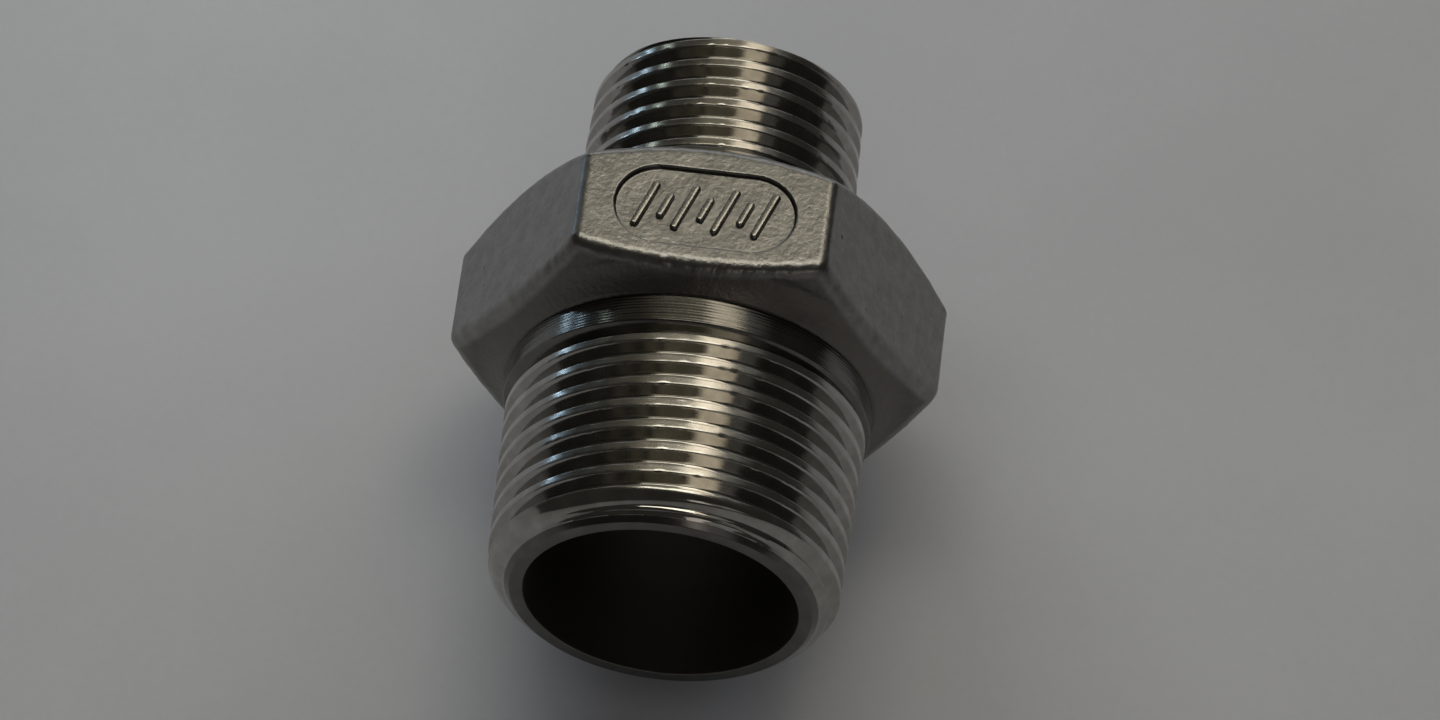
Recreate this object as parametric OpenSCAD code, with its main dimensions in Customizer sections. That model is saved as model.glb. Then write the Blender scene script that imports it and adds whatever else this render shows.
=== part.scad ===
// Reducing hex nipple, R 3/4 to R 1/2, cast stainless steel with cut taper threads.
//
// The bore runs along Y. The large end points to -Y and the small end to +Y.
// The marked flat of the hex faces +Z, and the opposite flat is what the part lies on.
// The origin is on the bore axis, halfway between the two end faces.
//
// The real part is one casting. It is drawn here as eight named regions that meet face to
// face: the hex with its neck cones, the raised mark, and a turned band, a root tube and a
// helical thread ridge for each end.

/* [Hex] */
// Distance across two opposite flats
across_flats = 31.5; // [30:0.1:34]
// Length of a flat along the axis, at its middle
hex_length = 10.15; // [9:0.05:13]
// Slope of the chamfer that faces the small end, in degrees
small_side_slope = 31; // [20:1:40]
// Slope of the chamfer that faces the large end, in degrees
large_side_slope = 24; // [15:1:40]
// How far each corner of the hex is rounded off
corner_wear = 0.13; // [0.05:0.01:0.6]

/* [Threads] */
// Threads per inch, the same on both ends
threads_per_inch = 14; // [11:1:19]
// Flank angle from the radial direction, in degrees
flank_angle = 27.5; // [27.5:0.5:30]
// Taper, as axial length per unit of diameter
taper_length = 16; // [14:1:20]
// Radial height of the cut thread
thread_height = 0.92; // [0.7:0.01:1.1]
// How far the crests are cut below the full thread form
crest_loss = 0.15; // [0:0.01:0.3]
// Width of the flat at the root
root_flat = 0.28; // [0.1:0.01:0.4]

/* [Large end] */
// Gauge diameter of the R 3/4 thread
large_gauge_d = 26.441; // [26.4:0.001:26.5]
// Distance from the end face to the gauge plane
large_gauge_length = 9.5; // [8.5:0.1:11]
// Distance from the end face to the turned band
large_thread_length = 15.63; // [14:0.01:17]
// Width of the turned band
large_band_width = 2.14; // [1:0.01:3]
// Bore of the large end
large_bore_d = 20; // [18:0.1:20.5]
// Outer diameter of the flat ring on the end face
large_face_d = 21.5; // [21:0.01:23]
// Axial length of the chamfer between the end face and the root of the thread
large_chamfer_length = 0.45; // [0.3:0.01:1]
// Distance from the end face at which the thread reaches its full height
large_lead_in = 1.74; // [1:0.01:3]
// Slope of the neck cone between band and hex, in degrees
large_neck_slope = 29; // [20:1:35]
// Angle at which the thread would start from the end face, in degrees
large_thread_start = 288; // [0:1:359]

/* [Small end] */
// Gauge diameter of the R 1/2 thread
small_gauge_d = 20.955; // [20.9:0.001:21]
// Distance from the end face to the gauge plane
small_gauge_length = 8.2; // [7:0.1:9.5]
// Distance from the end face to the turned band
small_thread_length = 10.75; // [9.5:0.01:11.5]
// Width of the turned band
small_band_width = 1.6; // [1:0.01:2.5]
// Bore of the small end
small_bore_d = 15; // [12:0.1:16]
// Outer diameter of the end face where the thread starts on it
small_face_d = 18.9; // [18.5:0.01:19.5]
// Distance from the end face at which the thread reaches its full height
small_lead_in = 0.64; // [0.5:0.01:2]
// Slope of the neck cone between band and hex, in degrees
small_neck_slope = 22; // [15:1:25]
// Angle at which the thread would start from the end face, in degrees
small_thread_start = 248; // [0:1:359]

/* [Bands] */
// How far each turned band stands above the thread crests
band_rise = 0.24; // [0.1:0.01:0.4]
// How far each neck cone stands above its band
neck_step = 0.1; // [0.05:0.01:0.3]

/* [Bore step] */
// Distance from the large side of the hex to the start of the cone in the bore
step_from_hex = 4; // [1:0.5:6]

/* [Mark] */
// Length of the sunken panel
panel_length = 13.3; // [10:0.1:14]
// Width of the sunken panel
panel_width = 6.7; // [5:0.1:7]
// Depth of the sunken panel
panel_depth = 0.4; // [0.1:0.05:0.5]
// Number of raised strokes
stroke_count = 7; // [3:1:7]
// Width of each raised stroke
stroke_width = 0.65; // [0.4:0.05:0.8]
// Length of a long stroke between the centres of its round ends
long_stroke = 3.6; // [3:0.1:3.8]
// Length of a short stroke between the centres of its round ends
short_stroke = 1.7; // [1:0.1:2.8]
// Distance between neighbouring strokes
stroke_spacing = 1.45; // [1.2:0.05:1.45]
// Lean of each stroke, in degrees
stroke_lean = 20; // [0:1:25]

/* [Hidden] */
$fn = 96;

steel_cast = [0.56, 0.56, 0.55];
steel_turned = [0.72, 0.71, 0.68];

// Radius of the thread crests and of the root, z in from the end face.
function crest_r(gauge_d, gauge_length, z) =
    gauge_d / 2 - crest_loss + (z - gauge_length) / (2 * taper_length);
function root_r(gauge_d, gauge_length, z) = crest_r(gauge_d, gauge_length, z) - thread_height;

pitch = 25.4 / threads_per_inch;
crest_flat = pitch - root_flat - 2 * thread_height * tan(flank_angle);
ridge_base = pitch - root_flat;

// Each end, from its face inward: thread, band, neck cone, hex.
flat_r = across_flats / 2;
large_band_r = crest_r(large_gauge_d, large_gauge_length, large_thread_length) + band_rise;
small_band_r = crest_r(small_gauge_d, small_gauge_length, small_thread_length) + band_rise;
large_neck_r = large_band_r + neck_step;
small_neck_r = small_band_r + neck_step;
large_collar_start = large_thread_length + large_band_width;
small_collar_start = small_thread_length + small_band_width;
large_neck_length = (flat_r - large_neck_r) * tan(large_neck_slope);
small_neck_length = (flat_r - small_neck_r) * tan(small_neck_slope);
large_reach = large_collar_start + large_neck_length;
small_reach = small_collar_start + small_neck_length;
total_length = large_reach + hex_length + small_reach;

// Places along Y.
large_face_y = -total_length / 2;
small_face_y = total_length / 2;
hex_low_y = large_face_y + large_reach;
hex_high_y = hex_low_y + hex_length;

sharp_r = flat_r / cos(30);
corner_r = sharp_r - corner_wear;
mark_y = (hex_low_y + hex_high_y) / 2 - 0.1;
mark_below_flat = 0.02;

// Frame of the large end: local z is the distance inward from its end face.
module large_frame() translate([0, large_face_y, 0]) rotate([-90, 0, 0]) children();
// Frame of the small end, in the same way.
module small_frame() translate([0, small_face_y, 0]) rotate([90, 0, 0]) children();

// Tube below the thread: root cone outside, end face with or without a chamfer, plain bore.
module barrel(gauge_d, gauge_length, length, bore_d, face_d, chamfer_length) {
    root_0 = root_r(gauge_d, gauge_length, 0);
    root_1 = root_r(gauge_d, gauge_length, chamfer_length);
    end_points = chamfer_length > 0
        ? [[face_d / 2, 0], [root_1, chamfer_length]]
        : [[root_0, 0]];
    rotate_extrude()
        polygon(concat(
            [[bore_d / 2, 0]],
            end_points,
            [[root_r(gauge_d, gauge_length, length), length], [bore_d / 2, length]]));
}

// Plain turned ring between the thread and the neck.
module band(outer_r, bore_d, start, width)
    translate([0, 0, start])
        difference() {
            cylinder(r = outer_r, h = width);
            translate([0, 0, -1]) cylinder(d = bore_d, h = width + 2);
        }

// Helical ridge of the thread: four corners of the cut form, swept at `steps` per turn.
// A lead-in cone from radius nose_r at nose_z trims its start, the face of the band its end.
module ridge(gauge_d, gauge_length, length, nose_r, nose_z, lead_in, start_angle) {
    steps = 72;
    step = 360 / steps;
    // The base keeps clear of the round root between two rings.
    base_lift = 0.004;
    least_height = 0.03;
    lead_r = crest_r(gauge_d, gauge_length, lead_in);
    lead_slope = (lead_r - nose_r) / (lead_in - nose_z);
    cut_z = nose_z + 0.02;
    centre = function (a) pitch * (a - start_angle) / 360;
    angle_at = function (z) start_angle + 360 * z / pitch;
    first = ceil(angle_at(cut_z + 0.15 - ridge_base / 2) / step);
    last = floor(angle_at(length - crest_flat / 2) / step);
    clip = function (z) min(length, max(cut_z, z));
    base = function (z) root_r(gauge_d, gauge_length, z) / cos(step / 2) + base_lift;
    crest = function (z) max(base(z) + least_height,
                             min(crest_r(gauge_d, gauge_length, z),
                                 nose_r + (z - nose_z) * lead_slope));
    ring = function (a) let (
            zc = centre(a),
            z0 = clip(zc - ridge_base / 2),
            z1 = max(z0 + 0.005, clip(zc - crest_flat / 2)),
            z2 = max(z1 + 0.005, clip(zc + crest_flat / 2)),
            z3 = max(z2 + 0.005, clip(zc + ridge_base / 2)),
            corners = [[base(z0), z0], [crest(z1), z1], [crest(z2), z2], [base(z3), z3]])
        [for (c = corners) [c[0] * cos(a), c[0] * sin(a), c[1]]];
    rings = last - first;
    points = [for (i = [first:last]) each ring(i * step)];
    sides = [for (i = [0:rings - 1], j = [0:3]) let (
                 a = 4 * i + j, b = 4 * i + (j + 1) % 4)
             each [[a, b, b + 4], [a, b + 4, a + 4]]];
    caps = [[3, 1, 0], [3, 2, 1],
            [4 * rings, 4 * rings + 1, 4 * rings + 3],
            [4 * rings + 1, 4 * rings + 2, 4 * rings + 3]];
    polyhedron(points = points, faces = concat(sides, caps), convexity = 20);
}

module large_barrel()
    color(steel_turned) large_frame()
        barrel(large_gauge_d, large_gauge_length, large_thread_length,
               large_bore_d, large_face_d, large_chamfer_length);

module small_barrel()
    color(steel_turned) small_frame()
        barrel(small_gauge_d, small_gauge_length, small_thread_length,
               small_bore_d, small_face_d, 0);

module large_band()
    color(steel_turned) large_frame()
        band(large_band_r, large_bore_d, large_thread_length, large_band_width);

module small_band()
    color(steel_turned) small_frame()
        band(small_band_r, small_bore_d, small_thread_length, small_band_width);

module large_thread()
    color(steel_turned) large_frame()
        ridge(large_gauge_d, large_gauge_length, large_thread_length,
              root_r(large_gauge_d, large_gauge_length, large_chamfer_length),
              large_chamfer_length, large_lead_in, large_thread_start);

module small_thread()
    color(steel_turned) small_frame()
        ridge(small_gauge_d, small_gauge_length, small_thread_length,
              small_face_d / 2, 0, small_lead_in, small_thread_start);

// Outline of the sunken panel: a rectangle with full round ends.
module panel_outline() {
    straight = panel_length - panel_width;
    square([straight, panel_width], center = true);
    for (side = [-1, 1]) translate([side * straight / 2, 0]) circle(d = panel_width);
}

// Solid of revolution of the hex region, with its neck cones and the stepped bore.
module collar_turned() {
    rim = sharp_r + 1;
    large_bore_r = large_bore_d / 2;
    small_bore_r = small_bore_d / 2;
    step_start = hex_low_y + step_from_hex;
    step_end = step_start + large_bore_r - small_bore_r;
    low = large_face_y + large_collar_start;
    high = small_face_y - small_collar_start;
    rotate([-90, 0, 0]) rotate_extrude()
        polygon([
            [large_bore_r, low],
            [large_neck_r, low],
            [flat_r, hex_low_y],
            [rim, hex_low_y + (rim - flat_r) * tan(large_side_slope)],
            [rim, hex_high_y - (rim - flat_r) * tan(small_side_slope)],
            [flat_r, hex_high_y],
            [small_neck_r, high],
            [small_bore_r, high],
            [small_bore_r, step_end],
            [large_bore_r, step_start]]);
}

module hex_collar() {
    color(steel_cast) difference() {
        intersection() {
            collar_turned();
            rotate([90, 0, 0]) linear_extrude(height = total_length, center = true)
                polygon([for (i = [0:5]) sharp_r * [cos(60 * i), sin(60 * i)]]);
            rotate([90, 0, 0]) cylinder(r = corner_r, h = total_length, center = true);
        }
        translate([0, mark_y, flat_r - panel_depth])
            linear_extrude(height = panel_depth + 1) panel_outline();
    }
}

// Outline of one leaning stroke with round ends.
module stroke(length)
    rotate(-stroke_lean) {
        square([stroke_width, length], center = true);
        for (side = [-1, 1]) translate([0, side * length / 2]) circle(d = stroke_width);
    }

// Plain generic mark: a row of leaning strokes, long and short in turn.
module raised_mark() {
    color(steel_cast) translate([0, mark_y, flat_r - panel_depth])
        linear_extrude(height = panel_depth - mark_below_flat)
            for (i = [0:stroke_count - 1])
                translate([(i - (stroke_count - 1) / 2) * stroke_spacing, 0])
                    stroke(i % 2 == 0 ? long_stroke : short_stroke);
}

hex_collar();
raised_mark();
large_band();
large_barrel();
large_thread();
small_band();
small_barrel();
small_thread();
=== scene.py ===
"""Looks of the reducing hex nipple: a cast and blasted hex with turned bands and cut threads.

Lengths are in millimetres until a mesh is made. The bore runs along Y, the large end points to
-Y, the marked flat faces +Z. Angles round the hex run from +X toward +Z. Round a threaded end
they run clockwise as seen from that end, which makes its thread right-handed.
"""

import math

import bmesh
import bpy
import numpy as np
from mathutils import Matrix, Vector


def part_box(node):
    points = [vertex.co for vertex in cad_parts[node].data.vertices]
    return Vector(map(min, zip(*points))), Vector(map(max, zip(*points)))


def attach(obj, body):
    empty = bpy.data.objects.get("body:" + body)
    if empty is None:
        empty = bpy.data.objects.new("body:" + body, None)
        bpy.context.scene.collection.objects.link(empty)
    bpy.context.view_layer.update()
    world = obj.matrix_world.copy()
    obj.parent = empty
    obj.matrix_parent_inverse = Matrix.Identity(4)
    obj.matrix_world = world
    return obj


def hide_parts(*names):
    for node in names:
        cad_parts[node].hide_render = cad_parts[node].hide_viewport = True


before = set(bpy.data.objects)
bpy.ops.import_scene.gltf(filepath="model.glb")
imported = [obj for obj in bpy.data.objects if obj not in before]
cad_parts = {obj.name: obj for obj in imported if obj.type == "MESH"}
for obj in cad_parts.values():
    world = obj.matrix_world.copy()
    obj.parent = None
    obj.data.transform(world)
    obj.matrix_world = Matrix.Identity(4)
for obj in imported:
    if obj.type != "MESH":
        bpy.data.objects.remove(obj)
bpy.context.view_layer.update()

MM = 0.001
TAU = 2 * math.pi


def node_box(name):
    """Lowest and highest corner of a CAD node, in millimetres."""
    low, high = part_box(name)
    return np.array(low) / MM, np.array(high) / MM


# ---------------------------------------------------------------- sizes

PITCH = 25.4 / 14
FLANK = math.radians(27.5)
TAPER = 1 / 32
THREAD_HEIGHT = 0.92
CREST_LOSS = 0.15
ROOT_FLAT = 0.28
SKIN = 0.2
SKIN_START = 0.4
RIDGE_BASE = PITCH - ROOT_FLAT
CREST_FLAT = RIDGE_BASE - 2 * THREAD_HEIGHT * math.tan(FLANK)

_, hex_high = node_box("hex_collar")
FLAT_R = hex_high[2]
MARK_Y = float(np.mean([corner[1] for corner in node_box("raised_mark")]))
LARGE_NECK_SLOPE = math.radians(29)
SMALL_NECK_SLOPE = math.radians(22)
LARGE_SIDE_SLOPE = math.radians(24)
SMALL_SIDE_SLOPE = math.radians(31)
NECK_STEP = 0.1
NECK_HOLLOW = 0.16
BORE_STEP_FROM_HEX = 4
EDGE_R = 0.95
CORNER_REACH = 0.62 * EDGE_R
PANEL = {"length": 13.3, "width": 6.7, "depth": 0.4, "wall": 0.16}
PANEL_STRAIGHT = (PANEL["length"] - PANEL["width"]) / 2
STROKES = {"count": 7, "width": 0.65, "long": 3.6, "short": 1.7, "spacing": 1.45, "lean": 20}

# Fineness of the meshes: columns of a turned piece, the panel's grid, a stroke's rings.
COLUMNS = 350
PANEL_GRID = 0.07
STROKE_AROUND = 48
STROKE_LEVELS = 9

# The hex's softened edges: how far the rounds reach, and how ragged the edges are.
SOFT_LOW = 0.78
SOFT_HIGH = 0.50
RAGGED = 0.016
RAGGED_FINE = 0.003

# Marks of the tools.
BAND_FEED = 0.24
FEED_DEPTH = 0.0022
BORE_RIPPLE = 0.012
RIPPLE_START = 0.4
CREST_UNEVEN = 0.0012
FLANK_CHATTER = 0.001
BURR = 0.006
TORN_DEPTH = 0.06

# Waves of the cast faces. The faces lie a little deep, so that no wave stands out past the CAD.
CAST_SWELL = 0.012
SWELL_LIMIT = 1.9
CAST_SINK = 0.024


class End:
    """One threaded end. Its own z runs inward from the end face."""

    def __init__(self, name, inward, gauge, bore_r, nose, start):
        self.name = name
        self.inward = inward
        self.gauge_r, self.gauge_z = gauge
        self.bore_r = bore_r
        self.nose = np.array(nose)
        self.start = start
        low, high = node_box(name + "_barrel")
        self.face_y = low[1] if inward > 0 else high[1]
        low, high = node_box(name + "_band")
        self.band_r = high[0]
        self.band_z = abs((low[1] if inward > 0 else high[1]) - self.face_y)
        self.band_width = high[1] - low[1]
        self.collar_y = high[1] if inward > 0 else low[1]

    def crest(self, z):
        """Radius of the full crests, which grows along the taper."""
        return self.gauge_r - CREST_LOSS + (z - self.gauge_z) * TAPER

    def root(self, z):
        """Radius at the bottom of the thread's groove."""
        return self.crest(z) - THREAD_HEIGHT

    def lead(self, z):
        """Radius that trims the first turn: the chamfer, then the lead-in cone."""
        return np.interp(z, self.nose[:, 1], self.nose[:, 0])

    def skin_start(self):
        """Where the threaded skin starts: on the chamfer if there is one, else on the face."""
        return SKIN_START if self.lead(0) < self.root(0) - 0.5 else 0.0

    def skin(self, z):
        """Inner radius of the threaded skin."""
        return float(min(self.root(z), self.lead(z))) - SKIN

    def place(self, angle, radius, z):
        """Points in the part's frame, from angle, radius and distance from the end face."""
        x, w = radius * np.cos(angle), radius * np.sin(angle)
        return np.stack([x, self.face_y + self.inward * z, -self.inward * w], axis=-1)


# How the first turns are trimmed at each end, as (radius, distance from the end face).
LARGE_NOSE = [(11.0, 0), (11.64, 0.62), (11.98, 0.8), (12.35, 1.1), (12.83, 1.74), (14, 2.4)]
SMALL_NOSE = [(9.5, 0), (10.15, 0.62), (10.8, 1.15)]
LARGE = End("large", 1, (26.441 / 2, 9.5), 10.0, LARGE_NOSE, math.radians(288))
SMALL = End("small", -1, (20.955 / 2, 8.2), 7.5, SMALL_NOSE, math.radians(248))
ENDS = (LARGE, SMALL)


# ---------------------------------------------------------------- mesh tools


def wobble(values, seed, wavelength, octaves=4):
    """Smooth seeded noise of about unit height along a line of positions."""
    rng = np.random.default_rng(seed)
    total = np.zeros_like(values, dtype=float)
    for i in range(octaves):
        for _ in range(3):
            k = TAU / wavelength * (1.6**i) * rng.uniform(0.7, 1.3)
            total += np.sin(values * k + rng.uniform(0, TAU)) * 0.6**i
    return total / 2.2


def ring_wobble(angle, seed, lobes, octaves=4):
    """The same round a circle, so that it closes on itself."""
    rng = np.random.default_rng(seed)
    total = np.zeros_like(angle, dtype=float)
    for i in range(octaves):
        for _ in range(3):
            k = max(1, round(lobes * 1.7**i * rng.uniform(0.7, 1.3)))
            total += np.sin(angle * k + rng.uniform(0, TAU)) * 0.62**i
    return total / 2.2


def soft_min(a, b, width):
    """The lower of two heights, with the edge between them rounded."""
    h = np.clip(0.5 + 0.5 * (b - a) / width, 0, 1)
    return b + (a - b) * h - width * h * (1 - h)


def smooth_step(low, high, x):
    """0 below low, 1 above high, and a smooth rise between them."""
    t = np.clip((x - low) / (high - low), 0, 1)
    return t * t * (3 - 2 * t)


def bend(a, b, c, t):
    """A place on the curve that leaves a toward b and comes to c."""
    return (1 - t) ** 2 * a + 2 * t * (1 - t) * b + t * t * c


def rounded(points, radii, segments=5):
    """An open outline with each inner corner replaced by a round of that radius."""
    points = [np.array(p, float) for p in points]
    out = [points[0]]
    for before, corner, after, radius in zip(points, points[1:], points[2:], radii, strict=False):
        if radius == 0:
            out.append(corner)
            continue
        u, v = before - corner, after - corner
        reach = min(radius, 0.45 * np.linalg.norm(u), 0.45 * np.linalg.norm(v))
        a = corner + u / np.linalg.norm(u) * reach
        b = corner + v / np.linalg.norm(v) * reach
        for t in np.linspace(0, 1, segments):
            out.append(bend(a, corner, b, t))
    out.append(points[-1])
    return np.array(out)


def split_long(points, longest):
    """The same outline with its long stretches cut into steps of at most `longest`."""
    out = [points[0]]
    for a, b in zip(points, points[1:], strict=False):
        n = max(1, math.ceil(np.linalg.norm(b - a) / longest))
        out += [a + (b - a) * i / n for i in range(1, n + 1)]
    return np.array(out)


def make_piece(name, vertices, faces, material, node, sharp=38):
    """A closed mesh from points in millimetres, riding on the one body."""
    mesh = bpy.data.meshes.new(name)
    mesh.from_pydata((np.asarray(vertices) * MM).tolist(), [], faces)
    bm = bmesh.new()
    bm.from_mesh(mesh)
    bmesh.ops.remove_doubles(bm, verts=bm.verts, dist=2e-7)
    bmesh.ops.recalc_face_normals(bm, faces=bm.faces)
    bm.to_mesh(mesh)
    bm.free()
    mesh.shade_smooth()
    mesh.set_sharp_from_angle(angle=math.radians(sharp))
    mesh.materials.append(material)
    piece = bpy.data.objects.new(name, mesh)
    bpy.context.scene.collection.objects.link(piece)
    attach(piece, "root")
    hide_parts(node)
    return piece


def ring_faces(count, rows):
    """Quads of a closed grid: `rows` rings of `count` points, the last joined to the first."""
    faces = []
    for j in range(rows):
        a, b = j * count, (j + 1) % rows * count
        for i in range(count):
            n = (i + 1) % count
            faces.append((a + i, a + n, b + n, b + i))
    return faces


def drop_unused(vertices, faces):
    """The same mesh without the vertices that no face uses."""
    used = np.unique(np.concatenate([np.array(face) for face in faces]))
    renumber = np.full(len(vertices), -1)
    renumber[used] = np.arange(len(used))
    return vertices[used], [[int(renumber[v]) for v in face] for face in faces]


# ---------------------------------------------------------------- turned pieces


def column_angles():
    """Angle of each column round the axis."""
    return np.arange(COLUMNS) * TAU / COLUMNS


def lathe(end, outline, lift):
    """A closed ring: an outline of (radius, z), lifted a little, turned about the axis."""
    radius = np.repeat(outline[:, :1], COLUMNS, axis=1)
    radius = radius + lift(outline[:, 0], outline[:, 1])[:, None]
    z = np.repeat(outline[:, 1:], COLUMNS, axis=1)
    points = end.place(column_angles()[None, :], radius, z)
    return points.reshape(-1, 3), ring_faces(COLUMNS, len(outline))


def build_band(end, material):
    """The turned ring next to the neck, with its feed marks and the flank cut by the thread."""
    near, far = end.band_z, end.band_z + end.band_width
    root = end.root(near) - 0.1
    foot = near - (end.band_r - root) * math.tan(FLANK)
    outline = rounded(
        [(root, foot), (end.band_r, near), (end.band_r, far - 0.07), (end.band_r - 0.06, far)],
        [0.07, 0.05],
    )
    outline = split_long(outline, 0.03)
    inner = [(end.bore_r, far), (end.bore_r, foot)]
    outline = np.vstack([outline, inner])

    def feed_marks(radius, z):
        on_top = smooth_step(end.band_r - 0.12, end.band_r - 0.04, radius)
        marks = FEED_DEPTH * np.sin(z * TAU / BAND_FEED) + 0.002 * wobble(z, 11, 0.5)
        return on_top * (marks - 0.006)

    points, faces = lathe(end, outline, feed_marks)
    name = end.name + "_band"
    return make_piece(name, points, faces, material, name)


def build_barrel(end, material):
    """The tube under the thread: end face, chamfer and bore. The thread covers the rest."""
    start = end.skin_start()
    corners = [(end.bore_r, end.band_z), (end.bore_r, 0)]
    if start:
        corners += [(end.nose[0, 0], 0), (float(end.lead(start)), start)]
    corners += [(end.skin(start), start), (end.skin(end.band_z), end.band_z)]
    outline = rounded(corners, [0.10, 0.08] + [0.0] * (len(corners) - 4))
    outline = split_long(outline, 0.6)

    def tool_marks(radius, z):
        inside = (radius < end.bore_r + 0.02) & (z > RIPPLE_START)
        return np.where(inside, BORE_RIPPLE * (wobble(z, 23, 2.2) + 1), 0.0)

    points, faces = lathe(end, outline, tool_marks)
    name = end.name + "_barrel"
    return make_piece(name, points, faces, material, name)


def thread_form():
    """One pitch of the thread as (offset from the ridge's middle, height over the root)."""
    outline = rounded(
        [
            (-PITCH / 2, 0),
            (-RIDGE_BASE / 2, 0),
            (-CREST_FLAT / 2, THREAD_HEIGHT),
            (CREST_FLAT / 2, THREAD_HEIGHT),
            (RIDGE_BASE / 2, 0),
            (PITCH / 2, 0),
        ],
        [0.13, 0.055, 0.055, 0.13],
    )
    return split_long(outline, 0.16)[:-1]


def thread_wear(offset, height, run, seed):
    """What the tool leaves on a thread: uneven crests, a burr, torn edges, chattered flanks.

    The offset from the ridge's middle runs toward +Y, and the way along the helix is `run`.
    """
    at_crest = smooth_step(0.9, 1.0, height / THREAD_HEIGHT)
    upper = smooth_step(0.20, 0.27, offset) * at_crest
    lower = smooth_step(0.20, 0.28, -offset) * at_crest
    uneven = CREST_UNEVEN * wobble(run, seed, 9.0) * at_crest
    burr = BURR * upper * (1 + 0.5 * wobble(run, seed + 1, 2.4))
    torn = TORN_DEPTH * lower * np.clip(wobble(run, seed + 2, 1.1) - 0.75, 0, 1)
    chatter = FLANK_CHATTER * wobble(run, seed + 3, 1.3) * (1 - at_crest)
    return uneven + burr - torn + chatter


def thread_rows(end, seed):
    """Distance from the face, height over the root and way along the helix, for every column."""
    form = thread_form()
    turns = math.ceil(end.band_z / PITCH) + 3
    turn = np.arange(turns) - 1
    along = (column_angles()[:, None] + TAU * turn[None, :] - end.start) / TAU * PITCH
    middle = along[:, :, None] + PITCH
    shape = (COLUMNS, turns, len(form))
    offset = np.broadcast_to(form[None, None, :, 0], shape)
    height = np.broadcast_to(form[None, None, :, 1], shape)
    run = np.broadcast_to(middle / PITCH * TAU * end.gauge_r, shape)
    height = height + thread_wear(offset * end.inward, height, run, seed)
    return [values.reshape(COLUMNS, -1) for values in (middle + offset, height, run)]


def slide_to_ends(z, height, low, high):
    """Heights in which every row past an end has the height that the thread has at that end."""
    height = height.copy()
    for limit, past in ((low, z < low), (high, z > high)):
        for i in range(COLUMNS):
            where = np.flatnonzero(past[i])
            if len(where):
                height[i, where] = np.interp(limit, z[i], height[i])
    return height


def shared_ids(z, low, high):
    """Vertex number of each row of each column. Rows past an end all use the one vertex there."""
    ids = np.arange(z.size).reshape(z.shape)
    for i in range(COLUMNS):
        below = np.flatnonzero(z[i] <= low)
        above = np.flatnonzero(z[i] >= high)
        ids[i, below] = ids[i, below[-1]]
        ids[i, above] = ids[i, above[0]]
    return ids


def skin_faces(ids, per_turn):
    """Faces between neighbouring columns. The last column meets the first one turn on."""
    faces = []
    for i in range(COLUMNS):
        n = (i + 1) % COLUMNS
        shift = per_turn if n == 0 else 0
        for m in range(ids.shape[1] - 1 - shift):
            quad = [ids[i, m], ids[n, m + shift], ids[n, m + 1 + shift], ids[i, m + 1]]
            corners = list(dict.fromkeys(int(q) for q in quad))
            if len(corners) > 2:
                faces.append(corners)
    return faces


def closing_faces(ids, base):
    """The cone just inside the skin, whose two rings start at vertex `base`, and the two rims."""
    faces = []
    for i in range(COLUMNS):
        n = (i + 1) % COLUMNS
        low, next_low = base + i, base + n
        high, next_high = low + COLUMNS, next_low + COLUMNS
        faces.append([int(ids[i, 0]), int(ids[n, 0]), next_low, low])
        faces.append([int(ids[i, -1]), int(ids[n, -1]), next_high, high])
        faces.append([low, next_low, next_high, high])
    return faces


def build_thread(end, material, seed):
    """The outer skin of a threaded end: crests, flanks and roots on lines that follow the helix."""
    low, high = end.skin_start(), end.band_z
    angle = column_angles()
    z, height, run = thread_rows(end, seed)
    inside = np.clip(z, low, high)
    radius = end.root(inside) + slide_to_ends(z, height, low, high)
    lead = end.lead(inside) + 0.006 * wobble(run, seed + 4, 6.0)
    near = inside < end.nose[-1, 1]
    radius = np.where(near, np.minimum(soft_min(radius, lead, 0.10), lead), radius)
    ids = shared_ids(z, low, high)
    outer = end.place(angle[:, None], radius, inside).reshape(-1, 3)
    inner = [end.place(angle, np.full(COLUMNS, end.skin(at)), at + 0 * angle) for at in (low, high)]
    faces = skin_faces(ids, len(thread_form())) + closing_faces(ids, len(outer))
    vertices, faces = drop_unused(np.vstack([outer, *inner]), faces)
    name = end.name + "_thread"
    return make_piece(name, vertices, faces, material, name, sharp=50)


# ---------------------------------------------------------------- cast hex


def hex_radius(angle):
    """Distance from the axis to the hex's side, corners rounded to EDGE_R."""
    from_corner = (angle + math.pi / 6) % (math.pi / 3) - math.pi / 6
    c = (FLAT_R - EDGE_R) / math.cos(math.pi / 6)
    tangent = math.atan2(EDGE_R * math.sin(math.pi / 6), c + EDGE_R * math.cos(math.pi / 6))
    flat = FLAT_R / np.cos(np.abs(from_corner) - math.pi / 6)
    inner = np.clip(EDGE_R**2 - (c * np.sin(from_corner)) ** 2, 0, None)
    arc = c * np.cos(from_corner) + np.sqrt(inner)
    return np.where(np.abs(from_corner) < tangent, arc, flat)


def hex_angles():
    """Angles round the hex: close together over the marked flat and at each rounded corner."""
    half_flat = FLAT_R * math.tan(math.pi / 6)
    plain = half_flat - CORNER_REACH
    fine_half = PANEL["length"] / 2 + 0.25
    fine = np.arange(-fine_half, fine_half + 1e-6, PANEL_GRID)
    side = np.linspace(fine_half, plain, 12)[1:]
    marked = np.concatenate([-side[::-1], fine, side])
    other = np.linspace(-plain, plain, 64)
    out = []
    for k in range(6):
        centre = math.pi / 6 + k * math.pi / 3
        across = marked if k == 1 else other
        out.append(centre - np.arctan2(across, FLAT_R)[::-1])
        edge = np.linspace(plain, half_flat, 9)[1:]
        out.append(centre + np.arctan2(edge, FLAT_R))
        edge = -np.linspace(half_flat, plain, 9)[1:-1]
        out.append(centre + math.pi / 3 + np.arctan2(edge, FLAT_R))
    return np.unique(np.round(np.concatenate(out) % TAU, 9))


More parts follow.
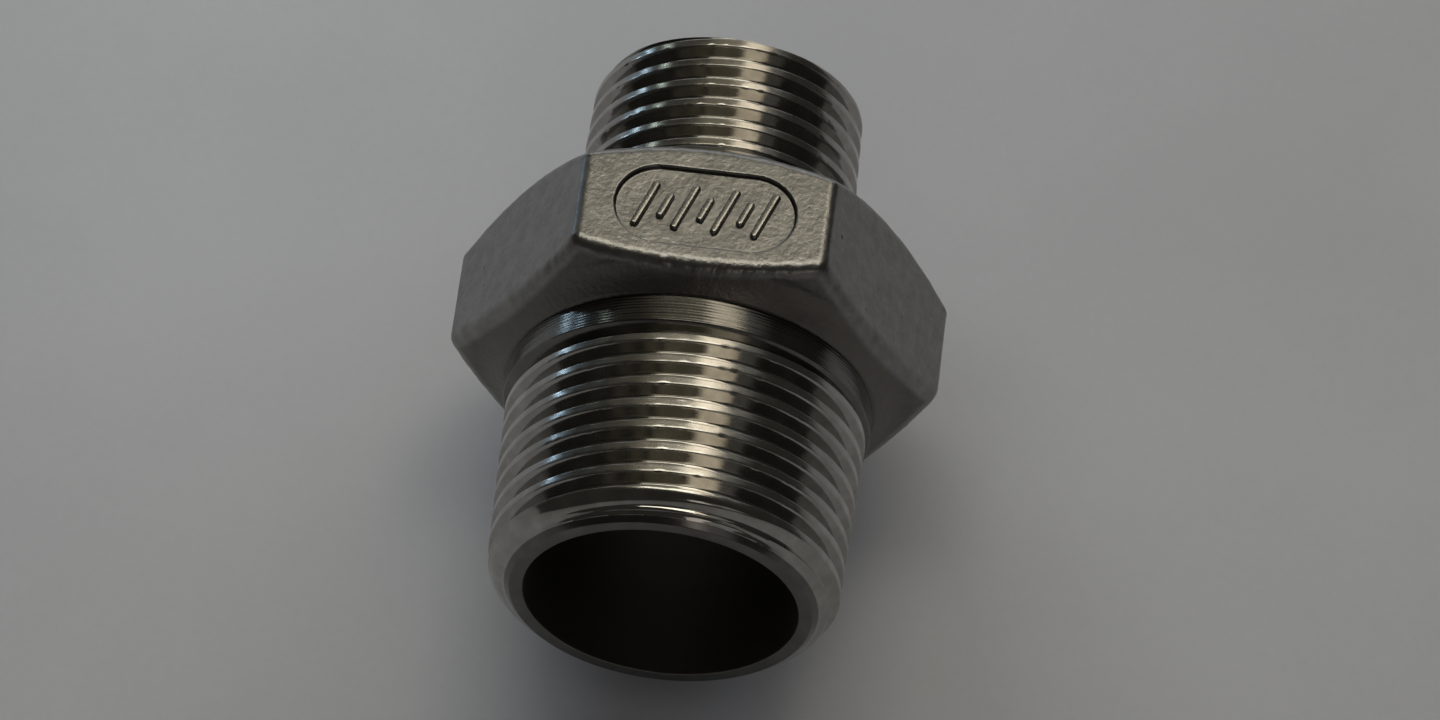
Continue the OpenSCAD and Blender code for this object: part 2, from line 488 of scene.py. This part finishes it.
def panel_depth(x, y):
    """Depth of the sunken panel at a place on the marked flat."""
    beyond = np.maximum(np.abs(x) - PANEL_STRAIGHT, 0)
    edge = np.hypot(beyond, y - MARK_Y) - PANEL["width"] / 2
    return PANEL["depth"] * (1 - smooth_step(-PANEL["wall"], 0.0, edge))


class Section:
    """The hex's outline in every direction, as rows of (radius, y) from the bore round and back."""

    def __init__(self, angles):
        self.rim = hex_radius(angles)
        self.low_y, self.high_y = LARGE.collar_y, SMALL.collar_y
        self.low_neck = LARGE.band_r + NECK_STEP
        self.high_neck = SMALL.band_r + NECK_STEP
        self.hex_low_y = self.low_y + (FLAT_R - self.low_neck) * math.tan(LARGE_NECK_SLOPE)
        self.hex_high_y = self.high_y - (FLAT_R - self.high_neck) * math.tan(SMALL_NECK_SLOPE)
        coarse = RAGGED * ring_wobble(angles, 31, 34)
        self.ragged = coarse + RAGGED_FINE * ring_wobble(angles, 32, 90, 3)
        self.low_edge = self.large_cone(self.rim) + self.ragged
        elsewhere = np.roll(self.ragged, 37)
        self.high_edge = self.small_cone(self.rim) - 0.4 * elsewhere
        self.soft_low = SOFT_LOW + 0.05 * ring_wobble(angles, 33, 60)
        self.soft_high = SOFT_HIGH + 0.04 * ring_wobble(angles, 34, 40)

    def large_cone(self, r):
        """Place along the bore of the cone toward the large end, hollow between neck and hex."""
        across = FLAT_R + 0.6 - self.low_neck
        hollow = NECK_HOLLOW * np.sin(np.pi * np.clip((r - self.low_neck) / across, 0, 1))
        slope = np.where(r < FLAT_R, math.tan(LARGE_NECK_SLOPE), math.tan(LARGE_SIDE_SLOPE))
        return self.hex_low_y + (r - FLAT_R) * slope + hollow

    def small_cone(self, r):
        """Place along the bore of the cone toward the small end."""
        inner = self.hex_high_y + (FLAT_R - r) * math.tan(SMALL_NECK_SLOPE)
        outer = self.hex_high_y - (r - FLAT_R) * math.tan(SMALL_SIDE_SLOPE)
        return np.where(r < FLAT_R, inner, outer)

    def bore_rows(self):
        """From the small side to the large side, then the face that meets the large band."""
        step_start = self.hex_low_y + BORE_STEP_FROM_HEX
        step_end = step_start + LARGE.bore_r - SMALL.bore_r
        return [
            (SMALL.bore_r, self.high_y),
            (SMALL.bore_r, step_end + 0.1),
            (SMALL.bore_r + 0.08, step_end),
            (LARGE.bore_r - 0.08, step_start),
            (LARGE.bore_r, step_start - 0.1),
            (LARGE.bore_r, self.low_y),
            (self.low_neck, self.low_y),
        ]

    def large_side_rows(self):
        """The cone toward the large end, then the round of the hex's lower edge."""
        rows = []
        for t in np.linspace(0, 1, 16)[1:]:
            r = self.low_neck + (self.rim - self.soft_low - self.low_neck) * t
            rows.append((r, self.large_cone(r) + self.ragged * t**3))
        start_r, start_y = rows[-1]
        end_y = self.low_edge + self.soft_low
        for t in np.linspace(0, 1, 11)[1:]:
            r = bend(start_r, self.rim, self.rim, t)
            rows.append((r, bend(start_y, self.low_edge, end_y, t)))
        return rows

    def flat_rows(self):
        """The six sides: close rows over the panel, wider ones toward the edges."""
        first, last = self.low_edge + self.soft_low, self.high_edge - self.soft_high
        panel_high = MARK_Y + PANEL["width"] / 2 + 0.12
        panel_low = MARK_Y - PANEL["width"] / 2 - 0.12
        count = round((panel_high - panel_low) / PANEL_GRID)
        panel_low = np.maximum(panel_low, first + 0.02)
        few, many = np.linspace(0, 1, 6)[1:], np.linspace(0, 1, count)[1:]
        rows = [(self.rim, first + (panel_low - first) * t) for t in few]
        rows += [(self.rim, panel_low * (1 - t) + panel_high * t) for t in many]
        return rows + [(self.rim, panel_high + (last - panel_high) * t) for t in few]

    def small_side_rows(self):
        """The round of the hex's upper edge, then the cone toward the small end."""
        rows = []
        start_y = self.high_edge - self.soft_high
        end_r = self.rim - self.soft_high
        for t in np.linspace(0, 1, 6)[1:]:
            r = bend(self.rim, self.rim, end_r, t)
            rows.append((r, bend(start_y, self.high_edge, self.small_cone(end_r), t)))
        for t in np.linspace(0, 1, 12)[1:]:
            r = end_r + (self.high_neck - end_r) * t
            rows.append((r, self.small_cone(r)))
        return rows

    def rows(self):
        """All the radii and all the places along the bore, one row of each per ring."""
        rows = self.bore_rows() + self.large_side_rows() + self.flat_rows() + self.small_side_rows()
        return [np.array([np.broadcast_to(v, self.rim.shape) for v in part]) for part in zip(*rows)]


def cast_swell(angles, y):
    """Slow waves over the faces of a casting, which is never quite flat."""
    wide = ring_wobble(angles, 41, 9)[None, :] * np.sin(y * 0.9 + 1.3)
    fine = ring_wobble(angles, 42, 23)[None, :] * np.cos(y * 2.1)
    return np.clip(wide + 0.7 * fine, -SWELL_LIMIT, SWELL_LIMIT)


def build_collar(material):
    """The hex with its neck cones, the sunken panel and the stepped bore."""
    angles = hex_angles()
    section = Section(angles)
    radius, y = section.rows()
    cast = smooth_step(section.low_neck + 0.1, FLAT_R - 0.2, radius)
    radius = radius - cast * (CAST_SINK + CAST_SWELL * cast_swell(angles, y))
    x, z = radius * np.cos(angles), radius * np.sin(angles)
    top = (z > FLAT_R - 1.2) & (np.abs(x) < PANEL["length"] / 2 + 0.3)
    z = np.where(top, z - panel_depth(x, y), z)
    points = np.stack([x, y, z], axis=-1).reshape(-1, 3)
    faces = ring_faces(len(angles), len(radius))
    name = "hex_collar"
    return make_piece(name, points, faces, material, name, sharp=60)


def stroke_points(i):
    """Rings of one stroke from its foot to its round top, with an uneven outline."""
    length = STROKES["short"] if i % 2 else STROKES["long"]
    centre_x = (i - (STROKES["count"] - 1) / 2) * STROKES["spacing"]
    lean = math.radians(STROKES["lean"])
    floor_z = FLAT_R - PANEL["depth"] - 0.05
    height = PANEL["depth"] + 0.03
    phase = np.random.default_rng(60 + i).uniform(0, TAU, 3)
    points = []
    for level in range(STROKE_LEVELS):
        climb = level / (STROKE_LEVELS - 1) * math.pi / 2
        reach = STROKES["width"] / 2 * (0.06 + 0.94 * math.cos(climb) ** 0.55)
        for j in range(STROKE_AROUND):
            a = j * TAU / STROKE_AROUND
            rough = 1 + 0.05 * math.sin(3 * a + phase[0]) + 0.04 * math.sin(5 * a + phase[1])
            u = reach * rough * math.cos(a)
            v = reach * rough * math.sin(a)
            v += math.copysign(length / 2, math.sin(a)) if abs(math.sin(a)) > 1e-9 else 0
            x = centre_x + u * math.cos(lean) + v * math.sin(lean)
            y = MARK_Y - u * math.sin(lean) + v * math.cos(lean)
            points.append((x, y, floor_z + height * math.sin(climb)))
    return points


def stroke_faces(base):
    """Walls between a stroke's rings, then its foot and its top."""
    faces = []
    for level in range(STROKE_LEVELS - 1):
        a = base + level * STROKE_AROUND
        for j in range(STROKE_AROUND):
            n = (j + 1) % STROKE_AROUND
            faces.append((a + j, a + n, a + STROKE_AROUND + n, a + STROKE_AROUND + j))
    last = base + (STROKE_LEVELS - 1) * STROKE_AROUND
    faces.append([base + j for j in range(STROKE_AROUND)])
    faces.append([last + j for j in range(STROKE_AROUND)])
    return faces


def build_mark(material):
    """Leaning strokes with round tops, long and short in turn."""
    vertices, faces = [], []
    for i in range(STROKES["count"]):
        faces += stroke_faces(len(vertices))
        vertices += stroke_points(i)
    name = "raised_mark"
    return make_piece(name, np.array(vertices), faces, material, name, sharp=70)


# ---------------------------------------------------------------- materials


class Shader:
    """Short hand for building a material's node tree."""

    def __init__(self, name):
        self.material = bpy.data.materials.new(name)
        self.material.use_nodes = True
        self.tree = self.material.node_tree
        self.surface = self.tree.nodes["Principled BSDF"]

    def add(self, kind, out=0, props=None, **inputs):
        """One output of a new node. Inputs go by name, or by number as _0, _1 and so on."""
        node = self.tree.nodes.new(kind)
        for key, value in (props or {}).items():
            setattr(node, key, value)
        for key, value in inputs.items():
            key = int(key[1:]) if key[0] == "_" else key.replace("_", " ")
            self.feed(node.inputs[key], value)
        return node.outputs[out]

    def feed(self, socket, value):
        """Link another node's output to the socket, or set the socket's own value."""
        if isinstance(value, bpy.types.NodeSocket):
            self.tree.links.new(value, socket)
        else:
            socket.default_value = value

    def math(self, operation, a, b=0.0):
        """One step of arithmetic."""
        return self.add("ShaderNodeMath", props={"operation": operation}, _0=a, _1=b)

    def ramp(self, value, low, high, to_low=0.0, to_high=1.0):
        """to_low below low, to_high above high, and a smooth change between them."""
        return self.add(
            "ShaderNodeMapRange",
            props={"interpolation_type": "SMOOTHSTEP"},
            Value=value,
            From_Min=low,
            From_Max=high,
            To_Min=to_low,
            To_Max=to_high,
        )

    def noise(self, vector, scale, detail=2.0, roughness=0.5):
        """Cloudy noise between 0 and 1."""
        return self.add(
            "ShaderNodeTexNoise", Vector=vector, Scale=scale, Detail=detail, Roughness=roughness
        )

    def mix(self, share, a, b):
        """Two colours mixed. A share of 1 is all b."""
        node = self.tree.nodes.new("ShaderNodeMix")
        node.data_type = "RGBA"
        self.feed(node.inputs["Factor"], share)
        self.feed(node.inputs["A"], a)
        self.feed(node.inputs["B"], b)
        return node.outputs["Result"]

    def bump(self, height, strength, distance):
        """Surface direction over a fine relief. The distance is in metres."""
        node = self.tree.nodes.new("ShaderNodeBump")
        node.inputs["Strength"].default_value = strength
        node.inputs["Distance"].default_value = distance
        self.feed(node.inputs["Height"], height)
        return node.outputs["Normal"]

    def place(self):
        """Object position in millimetres, with its three parts."""
        position = self.add("ShaderNodeTexCoord", out=3)
        scaled = self.add(
            "ShaderNodeVectorMath", props={"operation": "SCALE"}, _0=position, Scale=1 / MM
        )
        parts = self.tree.nodes.new("ShaderNodeSeparateXYZ")
        self.feed(parts.inputs[0], scaled)
        return scaled, parts.outputs[0], parts.outputs[1], parts.outputs[2]

    def round_axis(self, x, z):
        """Angle round the bore and distance from it."""
        angle = self.math("ARCTAN2", z, x)
        square = self.math("ADD", self.math("MULTIPLY", x, x), self.math("MULTIPLY", z, z))
        return angle, self.math("SQRT", square)

    def vector(self, x, y, z):
        """Three values as one vector."""
        return self.add("ShaderNodeCombineXYZ", _0=x, _1=y, _2=z)


def cast_material(name, tints, rough, grain):
    """Blasted stainless casting: sandy grain, faint mottling, small pits, and painted shade in the
    pits, along the foot of the panel's wall, on the neck cones and in the bore.
    """
    s = Shader(name)
    position, x, y, z = s.place()
    mottle = s.noise(position, 0.9, 4.0, 0.6)
    streak = s.noise(s.vector(s.math("MULTIPLY", x, 1.3), s.math("MULTIPLY", y, 3.0), z), 1.6, 3.0)
    sand = s.noise(position, 7.0, 3.0, 0.65)
    dimple = s.noise(position, 2.4, 2.0, 0.5)
    cells = s.add("ShaderNodeTexVoronoi", Vector=position, Scale=0.45)
    pit = s.ramp(cells, 0.05, 0.11, 1.0, 0.0)
    chance = s.ramp(s.noise(position, 0.35, 1.0), 0.52, 0.6)
    pit = s.math("MULTIPLY", pit, chance)
    tone = s.math("ADD", s.math("MULTIPLY", mottle, 0.75), s.math("MULTIPLY", streak, 0.25))
    colour = s.mix(s.ramp(tone, 0.32, 0.68), *tints)
    # Painted shade: the neck cones and the bore are mixed toward a dark brown.
    colour = s.mix(s.math("MULTIPLY", neck_cones(s, x, z), 0.75), colour, NECK_PAINTED_SHADE)
    # Painted shade: the pits and the foot of the sunken panel's wall are darkened.
    painted_shade_share = s.math("MAXIMUM", s.math("MULTIPLY", pit, 0.6), painted_panel_shade(s, x, y, z))
    s.feed(s.surface.inputs["Base Color"], s.mix(painted_shade_share, colour, PAINTED_SHADE_COLOUR))
    s.surface.inputs["Metallic"].default_value = 1.0
    s.feed(s.surface.inputs["Roughness"], s.ramp(sand, 0.3, 0.7, *rough))
    height = s.math("ADD", s.math("MULTIPLY", sand, 0.6), s.math("MULTIPLY", dimple, 1.9))
    height = s.math("SUBTRACT", height, s.math("MULTIPLY", pit, 1.6))
    s.feed(s.surface.inputs["Normal"], s.bump(height, 1.0, grain * MM))
    return s.material


def neck_cones(s, x, z):
    """1 on the cones and in the bore, which get painted shade, 0 on the six flats and in the panel.
    """
    side = s.math("MULTIPLY", s.math("ABSOLUTE", x), math.cos(math.radians(30)))
    up = s.math("ABSOLUTE", z)
    slope = s.math("ADD", side, s.math("MULTIPLY", up, 0.5))
    reach = s.math("MAXIMUM", up, slope)
    return s.ramp(s.math("SUBTRACT", FLAT_R, reach), 0.55, 1.1)


def painted_panel_shade(s, x, y, z):
    """Painted shade along the foot of the sunken panel's wall."""
    beyond = s.math("MAXIMUM", s.math("SUBTRACT", s.math("ABSOLUTE", x), PANEL_STRAIGHT), 0.0)
    across = s.math("SUBTRACT", y, MARK_Y)
    square = s.math("ADD", s.math("MULTIPLY", beyond, beyond), s.math("MULTIPLY", across, across))
    edge = s.math("SUBTRACT", s.math("SQRT", square), PANEL["width"] / 2 - 0.13)
    line = s.ramp(s.math("ABSOLUTE", edge), 0.03, 0.10, 0.8, 0.0)
    low = s.math("LESS_THAN", z, FLAT_R - 0.15)
    high = s.math("GREATER_THAN", z, FLAT_R - 0.6)
    return s.math("MULTIPLY", line, s.math("MULTIPLY", low, high))


def tool_lines(s, angle, y, radius, fineness, detail):
    """Noise drawn out round the axis, like the lines that a turning tool leaves."""
    along = s.math("MULTIPLY", y, fineness)
    across = s.math("MULTIPLY", radius, fineness)
    return s.noise(s.vector(s.math("MULTIPLY", angle, 0.7), along, across), 1.0, detail)


def tool_chatter(s, angle, y, radius):
    """Noise drawn out along the bore, like the ripple of a tool that shakes."""
    round_axis = s.math("MULTIPLY", angle, 26.0)
    return s.noise(s.vector(round_axis, s.math("MULTIPLY", y, 1.2), radius), 1.0, 2.0)


def turned_material(name, tints, rough, relief, crest_rough, flank_lines):
    """Turned or threaded stainless: fine lines round the axis, a little chatter and stain."""
    s = Shader(name)
    position, x, y, z = s.place()
    angle, radius = s.round_axis(x, z)
    fine = tool_lines(s, angle, y, radius, 16.0, 3.0)
    broad = tool_lines(s, angle, y, radius, 5.0, 2.0)
    chatter = tool_chatter(s, angle, y, radius)
    stain = s.noise(position, 0.5, 3.0, 0.6)
    colour = s.mix(s.ramp(stain, 0.35, 0.7), *tints)
    uneven = s.math("ADD", fine, s.math("MULTIPLY", chatter, 0.5))
    roughness = s.ramp(uneven, 0.5, 1.0, *rough)
    # The crests were turned before the thread was cut, and are rougher than its flanks.
    crest = s.math("MAXIMUM", *[on_crest(s, y, radius, end) for end in ENDS])
    roughness = s.math("ADD", roughness, s.math("MULTIPLY", crest, crest_rough))
    # The bore is left rough and dull.
    in_bore = s.math("MAXIMUM", *[inside_bore(s, y, radius, end) for end in ENDS])
    colour = s.mix(in_bore, colour, DULL_BORE)
    roughness = s.math("ADD", roughness, s.math("MULTIPLY", in_bore, 0.3))
    s.feed(s.surface.inputs["Base Color"], colour)
    s.surface.inputs["Metallic"].default_value = 1.0
    s.feed(s.surface.inputs["Roughness"], roughness)
    height = s.math("ADD", fine, s.math("MULTIPLY", broad, 0.8))
    height = s.math("ADD", height, s.math("MULTIPLY", chatter, 0.25))
    height = s.math("MULTIPLY", height, s.ramp(crest, 0.0, 1.0, flank_lines, 1.0))
    s.feed(s.surface.inputs["Normal"], s.bump(height, 1.0, relief * MM))
    return s.material


def on_crest(s, y, radius, end):
    """1 on the crests of that end's thread and on its band, 0 on the flanks and inside."""
    inward = s.math("MULTIPLY", y, end.inward)
    at_origin = end.crest(-end.inward * end.face_y)
    line = s.add(
        "ShaderNodeMath", props={"operation": "MULTIPLY_ADD"}, _0=inward, _1=TAPER, _2=at_origin
    )
    outside = s.ramp(s.math("SUBTRACT", radius, line), -0.12, -0.04)
    side = s.math("LESS_THAN", inward, 0.0)
    return s.math("MULTIPLY", outside, side)


def inside_bore(s, y, radius, end):
    """1 on the wall of that end's bore, 0 elsewhere."""
    wall = s.ramp(radius, end.bore_r + 0.03, end.bore_r + 0.09, 1.0, 0.0)
    side = s.math("GREATER_THAN", s.math("MULTIPLY", y, -end.inward), 0.0)
    return s.math("MULTIPLY", wall, side)


def floor_material():
    """Grey matt table top with the faintest unevenness."""
    s = Shader("table")
    position, _, _, _ = s.place()
    cloud = s.noise(position, 0.03, 3.0)
    speck = s.noise(position, 1.5, 4.0, 0.7)
    tone = s.math("ADD", s.math("MULTIPLY", cloud, 0.7), s.math("MULTIPLY", speck, 0.3))
    s.feed(s.surface.inputs["Base Color"], s.mix(s.ramp(tone, 0.3, 0.7), TABLE_DARK, TABLE_LIGHT))
    s.surface.inputs["Roughness"].default_value = 0.6
    s.surface.inputs["Specular IOR Level"].default_value = 0.3
    s.feed(s.surface.inputs["Normal"], s.bump(speck, 0.3, 0.02 * MM))
    return s.material


# Painted shade in the pits and along the foot of the panel's wall.
PAINTED_SHADE_COLOUR = (0.05, 0.045, 0.04, 1)
DULL_BORE = (0.22, 0.20, 0.18, 1)
# Painted shade on the neck cones and in the bore.
NECK_PAINTED_SHADE = (0.125, 0.112, 0.098, 1)
TABLE_DARK = (0.415, 0.424, 0.455, 1)
TABLE_LIGHT = (0.455, 0.465, 0.498, 1)

cast_steel = cast_material(
    "cast_steel",
    tints=((0.235, 0.232, 0.227, 1), (0.305, 0.30, 0.289, 1)),
    rough=(0.28, 0.38),
    grain=0.017,
)
# Painted highlight: the strokes get lighter tints than the cast faces round them; their finer grain
# and lower roughness are the metal's own.
cast_mark = cast_material(
    "cast_mark",
    tints=((0.28, 0.273, 0.257, 1), (0.38, 0.37, 0.35, 1)),
    rough=(0.24, 0.34),
    grain=0.012,
)
turned_steel = turned_material(
    "turned_steel",
    tints=((0.145, 0.141, 0.134, 1), (0.185, 0.181, 0.174, 1)),
    rough=(0.15, 0.21),
    relief=0.0004,
    crest_rough=0.0,
    flank_lines=1.0,
)
cut_thread = turned_material(
    "cut_thread",
    tints=((0.36, 0.35, 0.328, 1), (0.45, 0.44, 0.42, 1)),
    rough=(0.08, 0.13),
    relief=0.0014,
    crest_rough=0.09,
    flank_lines=0.12,
)


# ---------------------------------------------------------------- build

build_collar(cast_steel)
build_mark(cast_mark)
for end, seed in ((LARGE, 100), (SMALL, 200)):
    build_barrel(end, turned_steel)
    build_band(end, turned_steel)
    build_thread(end, cut_thread, seed)


# ---------------------------------------------------------------- stage

# Half the table's width, in metres.
TABLE_HALF = 6.0
DIM_ROOM = (0.034, 0.0325, 0.029, 1)
PALE_BACKDROP = (0.26, 0.26, 0.265, 1)
# Where the camera stands, in degrees round the part, and what it looks at, in millimetres.
CAMERA_AZIMUTH = 3.869
CAMERA_ELEVATION = 57.659
CAMERA_ROLL = 3.295
CAMERA_DISTANCE = 544.56
CAMERA_AIM = Vector((1.864, -0.562, 0.0))
CAMERA_LENS = 185.16


def build_floor():
    """The table under the flat that the part lies on, far wider than the view."""
    half, z = TABLE_HALF, -FLAT_R * MM
    mesh = bpy.data.meshes.new("table")
    corners = [(-half, -half, z), (half, -half, z), (half, half, z), (-half, half, z)]
    mesh.from_pydata(corners, [], [(0, 1, 2, 3)])
    mesh.materials.append(floor_material())
    floor = bpy.data.objects.new("table", mesh)
    bpy.context.scene.collection.objects.link(floor)


def panel_light(name, azimuth, elevation, width, height, radiance, colour, distance=3.0):
    """A soft panel facing the part.

    Azimuth runs from +Y toward +X. Width and height are in degrees, as the part sees them, and
    the distance is in metres.
    """
    a, e = math.radians(azimuth), math.radians(elevation)
    outward = Vector((math.sin(a) * math.cos(e), math.cos(a) * math.cos(e), math.sin(e)))
    light = bpy.data.lights.new(name, "AREA")
    light.shape = "RECTANGLE"
    light.size = 2 * distance * math.tan(math.radians(width) / 2)
    light.size_y = 2 * distance * math.tan(math.radians(height) / 2)
    light.energy = radiance * math.pi * light.size * light.size_y
    light.color = colour
    lamp = bpy.data.objects.new(name, light)
    lamp.location = outward * distance
    lamp.rotation_mode = "QUATERNION"
    lamp.rotation_quaternion = outward.to_track_quat("Z", "Y")
    lamp.visible_camera = False
    bpy.context.scene.collection.objects.link(lamp)
    return lamp


def build_lights():
    """What the metal reflects: windows, the walls beside them and a thin lamp."""
    panel_light("window_low", 0, 20, 62, 28, 0.9, (0.97, 0.99, 1.0))
    panel_light("window_cream", 26, 54, 16, 22, 1.9, (1.0, 0.885, 0.69))
    panel_light("window_olive", -9, 52, 20, 13, 0.20, (1.0, 0.90, 0.62))
    panel_light("window_olive_left", -37, 51, 11, 14, 0.13, (1.0, 0.90, 0.62))
    panel_light("window_olive_far", -50, 41, 9, 14, 0.07, (1.0, 0.90, 0.68))
    panel_light("window_olive_upper", -15, 63, 31, 9, 0.22, (1.0, 0.90, 0.62))
    panel_light("window_olive_top", -6, 76.5, 36, 17, 3.2, (1.0, 0.95, 0.80))
    panel_light("window_grey", 45, 46, 11, 20, 0.17, (0.98, 1.0, 0.95))
    panel_light("far_window_blue", -59, 2.5, 2.4, 4.5, 12.0, (0.55, 0.78, 1.0))
    panel_light("far_window_upper", -53.5, 9, 2, 4.5, 9.0, (0.58, 0.80, 1.0))
    panel_light("thin_lamp", -50, 24, 1.5, 5, 7.0, (0.84, 1.0, 0.92))
    panel_light("front_window", 166, 24, 8, 22, 0.80, (1.0, 0.91, 0.84))
    panel_light("front_wall", 154, 19, 11, 22, 0.19, (1.0, 0.98, 0.94))
    # These three light only the table: no reflection shows them.
    for lamp in (
        panel_light("table_light", 45, 36, 40, 30, 0.7, (0.96, 0.98, 1.0), 0.60),
        panel_light("table_side", -34, 42, 36, 30, 2.45, (0.93, 0.965, 1.0), 0.17),
        panel_light("ceiling", 170, 62, 80, 60, 0.20, (1.0, 0.98, 0.96)),
    ):
        lamp.visible_glossy = False


def build_world():
    """Dim room all round, with a pale backdrop where the camera looks past the table."""
    world = bpy.data.worlds.new("room")
    world.use_nodes = True
    tree = world.node_tree
    tree.nodes.clear()
    path = tree.nodes.new("ShaderNodeLightPath")
    dim = tree.nodes.new("ShaderNodeBackground")
    dim.inputs["Color"].default_value = DIM_ROOM
    pale = tree.nodes.new("ShaderNodeBackground")
    pale.inputs["Color"].default_value = PALE_BACKDROP
    mix = tree.nodes.new("ShaderNodeMixShader")
    out = tree.nodes.new("ShaderNodeOutputWorld")
    tree.links.new(path.outputs["Is Camera Ray"], mix.inputs[0])
    tree.links.new(dim.outputs[0], mix.inputs[1])
    tree.links.new(pale.outputs[0], mix.inputs[2])
    tree.links.new(mix.outputs[0], out.inputs[0])
    bpy.context.scene.world = world


def build_camera():
    """A long lens, from above the large end."""
    azimuth, elevation = math.radians(CAMERA_AZIMUTH), math.radians(CAMERA_ELEVATION)
    roll = math.radians(CAMERA_ROLL)
    outward = math.cos(elevation)
    back = Vector(
        (math.sin(azimuth) * outward, -math.cos(azimuth) * outward, math.sin(elevation))
    )
    level = Vector((math.cos(azimuth), math.sin(azimuth), 0))
    upright = back.cross(level)
    right = level * math.cos(roll) + upright * math.sin(roll)
    up = -level * math.sin(roll) + upright * math.cos(roll)
    data = bpy.data.cameras.new("camera")
    data.sensor_width = 36
    data.lens = CAMERA_LENS
    data.clip_start, data.clip_end = 0.01, 50
    camera = bpy.data.objects.new("camera", data)
    axes = Matrix((right, up, back)).transposed().to_4x4()
    camera.matrix_world = Matrix.Translation((CAMERA_AIM + back * CAMERA_DISTANCE) * MM) @ axes
    bpy.context.scene.collection.objects.link(camera)
    bpy.context.scene.camera = camera


build_floor()
build_lights()
build_world()
build_camera()
bpy.context.scene.view_settings.view_transform = "Standard"
